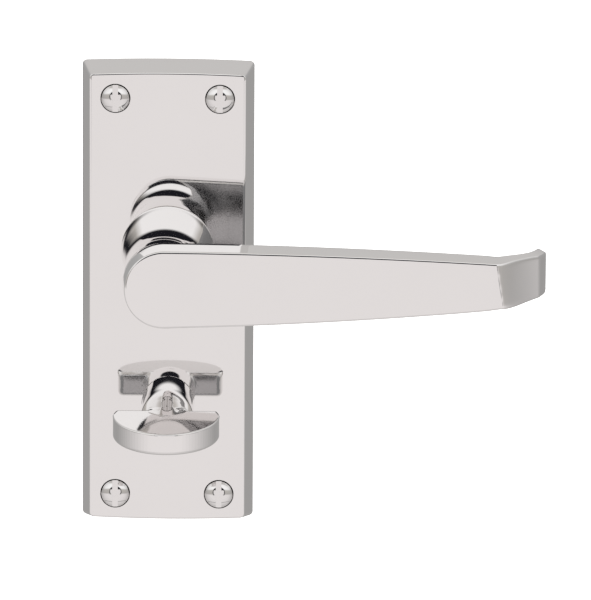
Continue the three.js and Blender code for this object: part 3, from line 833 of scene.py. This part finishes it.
def build_lever(lever):
    piece = build_blade(lever)
    joined(piece, "UNION", turned("neck", neck_profile(lever), steps=128))
    near, far = CLIP_GROOVE
    tail = turned("tail", [
        (0, JOURNAL_START), (8, JOURNAL_START), (8, JOURNAL_END), (7.2, JOURNAL_END), (7.2, near),
        (6.6, near), (6.6, far), (7.2, far), (7.2, -0.5), (7.05, TAIL_END), (0, TAIL_END),
    ], steps=72)
    for side in (1, -1):
        flat = sorted((6.3 * side, 12 * side))
        joined(tail, "DIFFERENCE", block("flat", *flat, JOURNAL_END, SOCKET_END, -9, 9))
    joined(piece, "UNION", tail)
    joined(piece, "DIFFERENCE", block("socket", -4.15, 4.15, -25, SOCKET_END, -4.15, 4.15))
    polished(piece)
    finished(piece, "polished_chrome", "streaked_chrome", "dressed_chrome")
    for face in piece.data.polygons:
        x, y, z = np.array(face.center) / MM
        _, ny, nz = face.normal
        on_curl = x > 82.75 - CURL_SLANT * z and abs(nz) < 0.5 and ny < -0.3
        if on_curl and x < BLADE_FOLD[0] + 0.05:
            face.material_index = 1
        # Faces turned to the door get the dressed chrome, whose darkened colour is painted shade.
        elif ny > 0.8 and y < -20:
            face.material_index = 2
    placed(piece, "lever", "polished_chrome", "lever")


# ---- thumb-turn ----

POST_END = 20.6


def outline_distance(outline, x, y):
    """Distance from points to a closed outline, negative inside it."""
    best = np.full(len(x), 1e9)
    inside = np.zeros(len(x), bool)
    for (ax, ay), (bx, by) in zip(outline, np.roll(outline, -1, axis=0)):
        ex, ey = bx - ax, by - ay
        t = np.clip(((x - ax) * ex + (y - ay) * ey) / (ex * ex + ey * ey), 0, 1)
        best = np.minimum(best, (x - ax - t * ex) ** 2 + (y - ay - t * ey) ** 2)
        crosses = (ay > y) != (by > y)
        with np.errstate(divide="ignore", invalid="ignore"):
            inside ^= crosses & (x < (bx - ax) * (y - ay) / (by - ay) + ax)
    return np.where(inside, -1, 1) * np.sqrt(best)


class TurnShape:
    """The thumb-turn's outer surface as a distance field. reach is counted from the plate's face."""

    def __init__(self, turn):
        self.turn = turn
        angles = round_angles(96)
        depth = turn.grip_end - turn.grip_middle
        self.outline = np.column_stack([
            turn.offset + turn.half_width * np.sin(angles), turn.grip_middle + depth * np.cos(angles)
        ])

    def grip_levels(self, reach):
        """Heights of the grip's top and bottom over the turn's axis."""
        top = self.turn.top_height - self.turn.top_fall * (reach - self.turn.grip_start)
        return top, smooth_through([10, 15.7, 33], [-3.05, -3.1, -3.9], reach)

    def post_sizes(self, reach):
        """The post's half width, and its heights above and below the axis."""
        width = smooth_through(
            [0, 8, 11, 13, 15.7, 18, 19.6, POST_END], [6.5, 6.5, 6.45, 6.25, 5.7, 4.7, 3.2, 1.4], reach
        )
        above = smooth_through(
            [0, 4.5, 8, 11.8, 14, 16, 18, 19.9, 21], [7.0, 6.72, 6.4, 5.98, 5.2, 4.35, 3.45, 2.55, 2.0], reach
        )
        below = smooth_through([0, 4, 8, 12, 16, 20], [6.6, 6.3, 5.9, 5.3, 4.0, 2.6], reach)
        return width, above, below

    def grip(self, x, reach, z):
        turn = self.turn
        top, bottom = self.grip_levels(reach)
        middle, half = (top + bottom) / 2, (top - bottom) / 2
        near_back = np.clip((19.5 - reach) / 3, 0, 1)
        upper = turn.edge_round + (turn.back_round - turn.edge_round) * near_back
        edge = np.where(z > middle, upper, turn.lower_round)
        back = turn.grip_start + turn.back_crown * ((z - middle) / half) ** 2
        terms = [
            outline_distance(self.outline, x, reach) + edge,
            back - reach + edge,
            np.abs(z - middle) - half + edge,
        ]
        outer = np.sqrt(sum(np.maximum(term, 0) ** 2 for term in terms))
        return outer + np.minimum(np.maximum.reduce(terms), 0) - edge

    def post(self, x, reach, z):
        width, above, below = self.post_sizes(reach)
        height = np.where(z > 0, above, below)
        ratio = np.sqrt(((x - self.turn.offset) / width) ** 2 + (z / height) ** 2)
        round_part = (ratio - 1) * np.minimum(width, height)
        return np.maximum(round_part, np.maximum(reach - POST_END, JOINED_GAP - reach))

    def distance(self, points):
        x, y, z = points.T
        reach = PLATE_FACE - y
        up = z - TURN_Z
        first, second = self.grip(x, reach, up), self.post(x, reach, up)
        blend = self.turn.fillet
        share = np.clip(0.5 + 0.5 * (second - first) / blend, 0, 1)
        return second * (1 - share) + first * share - blend * share * (1 - share)

    def slope(self, points):
        step = 0.01
        parts = []
        for axis in range(3):
            shift = np.zeros(3)
            shift[axis] = step
            parts.append((self.distance(points + shift) - self.distance(points - shift)) / (2 * step))
        return np.column_stack(parts)

    def settle(self, points, rounds=6):
        """Moves points onto the surface."""
        for _ in range(rounds):
            slope = self.slope(points)
            size = np.maximum((slope ** 2).sum(axis=1), 0.05)
            move = np.clip(self.distance(points) / size, -0.5, 0.5)
            points = points - slope * move[:, None]
        return points


def coordinates(mesh):
    flat = np.zeros(len(mesh.vertices) * 3)
    mesh.vertices.foreach_get("co", flat)
    return flat.reshape(-1, 3) / MM


def turn_blank(turn):
    """A solid close to the thumb-turn's surface, remeshed evenly and still to be settled."""
    shape = TurnShape(turn)
    outline = shape.outline.copy()
    outline[:, 1] = np.maximum(outline[:, 1], turn.grip_start + 0.1)
    grip = loft("turn_casting", [
        np.column_stack([outline[:, 0], PLATE_FACE - outline[:, 1], TURN_Z + level])
        for level in reversed(shape.grip_levels(outline[:, 1]))
    ])
    angles = round_angles(48)
    rings = []
    for reach in np.linspace(JOINED_GAP, POST_END - 0.2, 30):
        width, above, below = (float(size) for size in shape.post_sizes(reach))
        up = np.where(np.sin(angles) > 0, above, below) * np.sin(angles)
        across = turn.offset + width * np.cos(angles)
        rings.append(np.column_stack([across, np.full(len(up), PLATE_FACE - reach), TURN_Z + up]))
    joined(grip, "UNION", loft("post", rings))
    change = grip.modifiers.new("grain", "REMESH")
    change.mode = "VOXEL"
    change.voxel_size = turn.grain * MM
    return bake_modifiers(grip), shape


def foot_flat(points):
    """Keeps the foot of the post flat at its gap from the plate."""
    low = points[:, 1] > PLATE_FACE - JOINED_GAP - 0.02
    points[low, 1] = PLATE_FACE - JOINED_GAP
    return points


def build_turn(turn):
    piece, shape = turn_blank(turn)
    points = foot_flat(shape.settle(coordinates(piece.data)))
    piece.data.vertices.foreach_set("co", (points * MM).ravel())
    journal = [(0, JOURNAL_START), (4.9, JOURNAL_START), (4.9, JOURNAL_END), (0, JOURNAL_END)]
    joined(piece, "UNION", turned("journal", journal, 0, TURN_Z, 64))
    square = loft("square", [
        np.array([(x, y, z + TURN_Z) for x, z in rounded_rectangle(3.4, -3.4, 3.4, 0.3, 3)])
        for y in (JOURNAL_END - 1, TAIL_END)
    ])
    near, far = CLIP_GROOVE
    groove = turned("groove", [(4.1, near), (8, near), (8, far), (4.1, far)], 0, TURN_Z, 64, closed=True)
    joined(square, "DIFFERENCE", groove)
    joined(piece, "UNION", square)
    joined(piece, "DIFFERENCE", block("socket", -2.6, 2.6, -21, SOCKET_END, TURN_Z - 2.6, TURN_Z + 2.6))
    polished(piece)
    mesh = piece.data
    points = coordinates(mesh)
    slopes = shape.slope(points)
    slopes /= np.maximum(np.linalg.norm(slopes, axis=1), 1e-9)[:, None]
    on_surface = np.abs(shape.distance(points)) < 0.02
    normals = np.array([n.vector for n in mesh.corner_normals])
    for face in mesh.polygons:
        way = np.array(face.normal)
        for corner in face.loop_indices:
            point = mesh.loops[corner].vertex_index
            if on_surface[point] and slopes[point] @ way > 0.6:
                normals[corner] = slopes[point]
    mesh.normals_split_custom_set([tuple(n) for n in normals])
    finished(piece, "polished_chrome", "dressed_chrome")
    for face in mesh.polygons:
        # Faces turned to the door get the dressed chrome, whose darkened colour is painted shade.
        if face.normal.y > 0.8 and face.center.y / MM < -20:
            face.material_index = 1
    placed(piece, "turn", "polished_chrome", "turn_knob")


# ---- screws ----

HEAD_RADIUS = 3.45
SHANK_RADIUS = 1.72
CORE_RADIUS = 1.25
THREAD_START = PLATE_FACE + 10


def fixing_screw(name, screws):
    """A raised countersunk slotted wood screw with a rolled thread."""
    x, _, z = node_middle(name)
    rim, end = PLATE_FACE - 0.1, node_box(name)[1][1]
    pitch = screws.thread_pitch
    dome = [
        (HEAD_RADIUS * math.cos(a), rim - screws.dome * math.sin(a)) for a in np.linspace(0, math.pi / 2, 13)
    ]
    shank = [(SHANK_RADIUS, y) for y in np.linspace(-6.1, THREAD_START, 12)]
    thread = [(CORE_RADIUS, y) for y in np.arange(THREAD_START + 0.1, end - 0.3, pitch / 12)]

    def rolled(radius, y, angles):
        if y < THREAD_START + 0.05:
            return np.full(len(angles), radius)
        along = (y - THREAD_START) / pitch
        turn = (along - angles / (2 * math.pi)) % 1.0
        ridge = np.clip(1 - np.abs(turn - 0.5) / 0.22, 0, 1) * (screws.thread_crest - CORE_RADIUS)
        fade = np.clip(along, 0, 1)
        point = np.clip((end - y) / 5, 0.06, 1)
        return (CORE_RADIUS + (SHANK_RADIUS - CORE_RADIUS) * (1 - fade) * 0.5 + ridge * fade) * point

    head = [(0, dome[-1][1])] + dome[-2::-1] + [(HEAD_RADIUS - 0.12, PLATE_FACE + 0.1)]
    piece = turned(
        name.replace("fixing_screw", "wood_screw"), head + shank + thread + [(0, end)], x, z, 64, rolled
    )
    half = screws.slot_width / 2
    joined(piece, "DIFFERENCE", block("slot", x - half, x + half, -12, rim, z - 5, z + 5))
    return polished(piece, math.radians(26))


def cover_screw(name):
    x, _, z = node_middle(name)
    profile = [
        (0, 0), (1.9, 0), (2.1, -0.1), (1.15, -0.95), (1.15, -4.3), (1.05, -4.6), (0.6, -4.8), (0, -4.8),
    ]
    piece = turned(name.replace("cover_screw", "cover_pin_screw"), profile, x, z, 48)
    joined(piece, "DIFFERENCE", block("slot", x - 3, x + 3, -0.45, 1, z - 0.25, z + 0.25))
    return polished(piece)


def build_screws(screws):
    for name in SCREW_NAMES:
        placed(fixing_screw(name, screws), "plate", "screw_chrome", name)
    for name in COVER_SCREW_NAMES:
        placed(cover_screw(name), "plate", "bar_steel", name)


# ---- bars, cover, springs and the pressed pieces ----

def square_bar(name, node, side):
    """A drawn square bar with rounded corners and a turned-down far end."""
    low, high = node_box(node)
    z = (low[2] + high[2]) / 2
    half = side / 2

    def ring(size, y, corner):
        return np.array([(x, y, z + up) for x, up in rounded_rectangle(size, -size, size, corner, 4)])

    rings = [ring(half - 0.25, low[1], 0.3), ring(half, low[1] + 0.25, 0.35)]
    rings += [ring(half, high[1] - 1.5, 0.35), ring(half - 0.35, high[1] - 0.5, 0.9)]
    rings += [ring(half - 0.9, high[1], 1.0)]
    return polished(loft(name, rings))


def helix(radius, turns, start, end, steps):
    """A coil's two crosswise places and its place along the coil, as three rows."""
    angles = np.linspace(0, 2 * math.pi * turns, steps + 1)
    return radius * np.cos(angles), radius * np.sin(angles), np.linspace(start, end, steps + 1)


def build_cover():
    low, high = node_box("back_cover")
    outline = rounded_rectangle(high[0], low[2], high[2], 2, 10)
    piece = prism("cover_sheet", outline, low[1], high[1])
    mouth = [(0, 1), (2.4, 1), (2.4, 0), (1.45, -1.05), (1.45, -2), (0, -2)]
    holes = [turned("hole", mouth, x, z, 48) for x, z in COVER_SCREW_PLACES]
    holes += [drill(10.9, 0, 0, -2, 1, 72), drill(8.3, 0, TURN_Z, -2, 1, 72)]
    holes += [drill(5.5, x, z, -2, 1, 72) for x, z in SCREW_PLACES]
    joined(piece, "DIFFERENCE", together("holes", holes))
    placed(polished(eased(piece, 0.12)), "plate", "pressed_steel", "back_cover")


def build_springs():
    across, up, along = helix(13.2, 2, -5.3, -3.8, 200)
    wound = tube("return_coil", np.column_stack([across, along, up]), 0.35, 14)
    placed(polished(wound), "plate", "spring_steel", "lever_return_spring")
    low, high = node_box("lock_slide_spring")
    depth, across, along = helix(1.3, 5, low[2] + 0.3, high[2] - 0.3, 150)
    small = tube("slide_coil", np.column_stack([across, (low[1] + high[1]) / 2 + depth, along]), 0.25, 12)
    placed(polished(small), "plate", "spring_steel", "lock_slide_spring")


def build_bars():
    placed(square_bar("spindle_bar", "spindle", 8), "lever", "bar_steel", "spindle")
    placed(square_bar("tail_bar", "turn_tail_bar", 5), "turn", "bar_steel", "turn_tail_bar")


def build_bushes():
    for name, node, inner, outer, flange, z in (
        ("lever_sleeve", "lever_bush", 8.3, 10.0, 11.8, 0),
        ("turn_sleeve", "turn_bush", 5.1, 6.0, 7.3, TURN_Z),
    ):
        profile = [
            (inner, -5.1), (flange - 0.15, -5.1), (flange, -5.25), (flange, -5.55), (flange - 0.15, -5.7),
            (outer, -5.7), (outer, PLATE_FACE + 0.25), (outer - 0.15, PLATE_FACE + 0.1),
            (inner + 0.15, PLATE_FACE + 0.1), (inner, PLATE_FACE + 0.25),
        ]
        piece = turned(name, profile, 0, z, 96, closed=True)
        placed(polished(piece), "plate", "bush_nylon", node)


def finish_carried_nodes():
    """Gives the frame's own pieces their finish."""
    make_finishes(bpy.context.scene.handle_look)
    for row in frame["record"]["subparts"]:
        piece, slot = frame["nodes"][row["node"]], row["material_slot"]
        if not piece.material_slots:
            finished(piece, slot)
        for held in piece.material_slots:
            held.material = FINISHES[slot]


# ---- stage ----

CAMERA_DISTANCE = 2.5
CAMERA_AIM = (0.03165, -0.008, -0.01236)
CAMERA_AZIMUTH = math.radians(0.77)
CAMERA_ELEVATION = math.radians(16)
CAMERA_ROLL = math.radians(0.325)
FLOOR_REACH = 12000.0


def build_camera(stage):
    data = bpy.data.cameras.new("camera")
    data.sensor_width = 36
    data.lens = stage.lens
    camera = linked("camera", data)
    turn = Matrix.Rotation(CAMERA_AZIMUTH, 4, "Z") @ Matrix.Rotation(math.pi / 2 - CAMERA_ELEVATION, 4, "X")
    turn = turn @ Matrix.Rotation(CAMERA_ROLL, 4, "Z")
    away = turn @ Vector((0, 0, CAMERA_DISTANCE))
    camera.matrix_world = Matrix.Translation(Vector(CAMERA_AIM) + away) @ turn
    bpy.context.scene.camera = camera


def build_floor(stage):
    net, pale = new_finish("floor_paper", stage.floor_colour)
    tone = net.ramp(net.noise(4.0, 3.0), [(0.0, pale), (1.0, darker(pale, 0.99))])
    paper = net.surface(base_color=tone, roughness=0.9, emission_color=tone, emission_strength=1.1)
    reach, level = FLOOR_REACH, PLATE_LOW[2] - stage.floor_drop
    corners = [(-reach, -reach, level), (reach, -reach, level), (reach, reach, level), (-reach, reach, level)]
    mesh = bpy.data.meshes.new("floor")
    mesh.from_pydata([tuple(c * MM for c in corner) for corner in corners], [], [(0, 1, 2, 3)])
    mesh.materials.append(paper)
    floor = linked("floor", mesh)
    floor.visible_glossy = False


def sky_stops(rows):
    """Stops by elevation in degrees, placed along the sine of the elevation."""
    return [((math.sin(math.radians(angle)) + 1) / 2, colour) for angle, colour in rows]


def build_light(stage):
    """A soft studio: a pale table, a dark flag with a pale card in it, a long soft box and a grey room."""
    world = bpy.data.worlds.new("studio")
    bpy.context.scene.world = world
    net = Net(world)
    where = net.node("ShaderNodeTexCoord", out="Generated")
    split = net.node("ShaderNodeSeparateXYZ", values={0: where})
    parts = split.socket.node.outputs
    depth, height = Value(net, parts[1]), Value(net, parts[2])
    level, towards = height * 0.5 + 0.5, depth * -1.0
    table = (*stage.table_colour, 1)
    upper_grey = (0.6, 0.58, 0.56)
    outer = net.ramp(level, sky_stops([
        (-90, table), (-50, table), (-47, (0.3, 0.29, 0.29)), (-44, table), (-14, table),
        (-10, (0.5, 0.48, 0.46)), (6, (0.55, 0.53, 0.5)), (14, 1.06), (46, 1.06),
        (56, (0.62, 0.6, 0.57)), (90, upper_grey),
    ]))
    flag = net.rise(towards, 0.895, 0.915) * net.ramp(level, sky_stops([(-15.5, 0.0), (-13.5, 1.0)]))
    card = net.rise(towards, 0.925, 0.94) * net.ramp(level, sky_stops([(5.8, 1.0), (6.8, 0.0)]))
    front = net.mix(flag * (1.0 - card), outer, (0.012, 0.012, 0.016, 1))
    front = net.mix(flag * card, front, table)
    back = net.ramp(level, sky_stops([
        (-90, (0.45, 0.44, 0.43)), (-16, (0.37, 0.365, 0.36)), (10, 0.42),
        (26, (0.6, 0.59, 0.58)), (40, (0.62, 0.61, 0.6)), (90, upper_grey),
    ]))
    turn = net.ramp(depth * 0.5 + 0.5, [(0.1, 0.0), (0.5, 0.62), (0.8, 1.0)])
    values = {"Color": net.mix(turn, front, back), "Strength": stage.light}
    light = net.node("ShaderNodeBackground", values=values)
    plain = net.node("ShaderNodeBackground", values={"Color": (1, 1, 1, 1), "Strength": 1.0})
    seen = net.node("ShaderNodeLightPath", out="Is Camera Ray")
    both = net.node("ShaderNodeMixShader", values={0: seen, 1: light, 2: plain})
    net.node("ShaderNodeOutputWorld", values={"Surface": both})
    bpy.context.scene.view_settings.view_transform = "Standard"


# ---- settings ----

def length(name, default, description):
    return FloatProperty(name=name, description=description + ", in mm", default=default)


class PlateSettings(PropertyGroup):
    slope: length("Side slope", 1.7, "How far the sides slope in")
    side_share: FloatProperty(
        name="Side share", description="Slope of the long sides compared with the ends", default=1.2,
    )
    swell: length("Swell", 0.25, "Thickness of the plating and casting swell on the long sides")
    bow: length("End bow", 0.4, "How far the two ends bow out")
    corner: length("Corner", 1.2, "Radius of the outline's corners")
    crown: length("Crown", 1.15, "Radius of the rolled-off front edge")
    crown_angle: FloatProperty(
        name="Crown angle", description="How far the front edge rolls off, in degrees", default=32.0,
    )


class LeverSettings(PropertyGroup):
    foot_radius: length("Foot radius", 11.4, "Radius of the neck at the plate")
    waist_radius: length("Waist radius", 9.53, "Smallest radius of the neck")
    blade_draft: length("Draft", 0.55, "How much the back outline stands proud of the face")
    back_crown: FloatProperty(
        name="Back crown", description="Bulge of the blade's back as a share of its half height",
        default=0.09,
    )
    edge_crown: length("Edge crown", 2.0, "Radius of the face's rolled-off edge")
    edge_round: length("Edge round", 0.35, "Radius of the blade's front edge")


class TurnSettings(PropertyGroup):
    half_width: length("Half width", 13.15, "Half the grip's width")
    grip_middle: length("Widest place", 19.4, "Distance from the plate to the grip's widest place")
    grip_start: length("Grip start", 15.7, "Distance from the plate to the grip")
    grip_end: length("Grip end", 32.5, "Distance from the plate to the grip's rim")
    edge_round: length("Edge round", 0.4, "Radius of the grip's upper front edge")
    lower_round: length("Lower round", 1.2, "Radius of the grip's lower edge")
    back_round: length("Back round", 1.2, "Radius of the grip's upper back edge")
    top_height: length("Top height", 3.24, "Height of the grip's top over the axis at its back")
    top_fall: FloatProperty(
        name="Top fall", description="How fast the grip's top falls towards its front", default=0.091,
    )
    offset: length("Offset", 0.3, "How far the casting sits to the side of its axis")
    back_crown: length("Back crown", 0.3, "How far the grip's back is rolled off")
    fillet: length("Fillet", 1.1, "Size of the blend between post and grip")
    grain: length("Grain", 0.2, "Mesh size of the casting")


class ScrewSettings(PropertyGroup):
    dome: length("Dome", 1.5, "Height of the raised head")
    slot_width: length("Slot width", 1.4, "Width of the screwdriver slot")
    thread_pitch: length("Thread pitch", 1.6, "Distance between threads")
    thread_crest: length("Thread radius", 1.72, "Outer radius of the thread")


class LookSettings(PropertyGroup):
    chrome_colour: FloatVectorProperty(
        name="Chrome", description="Reflection colour of the chrome", subtype="COLOR", size=3,
        min=0, max=1, default=tuple(frame["record"]["materials"][0]["base_color"]),
    )
    chrome_roughness: FloatProperty(
        name="Roughness", description="Roughness of the polished chrome", subtype="FACTOR",
        min=0, max=1, default=0.03,
    )


class StageSettings(PropertyGroup):
    lens: length("Lens", 607.7, "Focal length of the camera")
    floor_drop: length("Floor drop", 120.0, "Height of the handle above the floor")
    floor_colour: FloatVectorProperty(
        name="Floor", description="Colour of the pale floor", subtype="COLOR", size=3,
        min=0, max=1, default=(0.98, 0.98, 0.98),
    )
    table_colour: FloatVectorProperty(
        name="Table", description="Light from in front and below", subtype="COLOR", size=3,
        min=0, max=1, default=(0.86, 0.83, 0.825),
    )
    light: FloatProperty(name="Light", description="Strength of the studio light", default=1.0)


SETTINGS = {
    "handle_plate": PlateSettings,
    "handle_lever": LeverSettings,
    "handle_turn": TurnSettings,
    "handle_screws": ScrewSettings,
    "handle_look": LookSettings,
    "handle_stage": StageSettings,
}


# ---- operators and panel ----

class HANDLE_OT_backplate(Operator):
    """Build the sloping-sided cast backplate"""

    bl_idname = "handle.backplate"
    bl_label = "Backplate"

    def execute(self, context):
        build_backplate(context.scene.handle_plate)
        return {"FINISHED"}


class HANDLE_OT_lever(Operator):
    """Build the lever: neck, blade, curled tip and tail"""

    bl_idname = "handle.lever"
    bl_label = "Lever"

    def execute(self, context):
        build_lever(context.scene.handle_lever)
        return {"FINISHED"}


class HANDLE_OT_turn(Operator):
    """Build the half-moon thumb-turn"""

    bl_idname = "handle.turn"
    bl_label = "Thumb-turn"

    def execute(self, context):
        build_turn(context.scene.handle_turn)
        return {"FINISHED"}


class HANDLE_OT_screws(Operator):
    """Build the four wood screws and the four cover screws"""

    bl_idname = "handle.screws"
    bl_label = "Screws"

    def execute(self, context):
        build_screws(context.scene.handle_screws)
        return {"FINISHED"}


class HANDLE_OT_mechanism(Operator):
    """Build the bars, bushes, springs and cover, and finish the pressed pieces"""

    bl_idname = "handle.mechanism"
    bl_label = "Mechanism"

    def execute(self, context):
        build_bars()
        build_bushes()
        build_springs()
        build_cover()
        finish_carried_nodes()
        return {"FINISHED"}


class HANDLE_OT_stage(Operator):
    """Build the floor, the soft studio light and the camera"""

    bl_idname = "handle.stage"
    bl_label = "Stage"

    def execute(self, context):
        stage = context.scene.handle_stage
        build_camera(stage)
        build_floor(stage)
        build_light(stage)
        return {"FINISHED"}


OPERATORS = [
    HANDLE_OT_stage,
    HANDLE_OT_backplate,
    HANDLE_OT_lever,
    HANDLE_OT_turn,
    HANDLE_OT_screws,
    HANDLE_OT_mechanism,
]


class HANDLE_PT_build(Panel):
    bl_label = "Lever handle"
    bl_idname = "HANDLE_PT_build"
    bl_space_type = "VIEW_3D"
    bl_region_type = "UI"
    bl_category = "Handle"

    def draw(self, context):
        for operator in OPERATORS:
            self.layout.operator(operator.bl_idname)
        for name in SETTINGS:
            group = getattr(context.scene, name)
            box = self.layout.box()
            for key in group.bl_rna.properties.keys():
                if key not in {"rna_type", "name"}:
                    box.prop(group, key)


def register():
    for group in SETTINGS.values():
        bpy.utils.register_class(group)
    for operator in OPERATORS:
        bpy.utils.register_class(operator)
    bpy.utils.register_class(HANDLE_PT_build)
    for name, group in SETTINGS.items():
        setattr(bpy.types.Scene, name, PointerProperty(type=group))


def unregister():
    for name in SETTINGS:
        delattr(bpy.types.Scene, name)
    bpy.utils.unregister_class(HANDLE_PT_build)
    for operator in reversed(OPERATORS):
        bpy.utils.unregister_class(operator)
    for group in reversed(list(SETTINGS.values())):
        bpy.utils.unregister_class(group)


def main():
    register()
    bpy.ops.handle.stage()
    bpy.ops.handle.backplate()
    bpy.ops.handle.lever()
    bpy.ops.handle.turn()
    bpy.ops.handle.screws()
    bpy.ops.handle.mechanism()


if __name__ == "__main__":
    main()
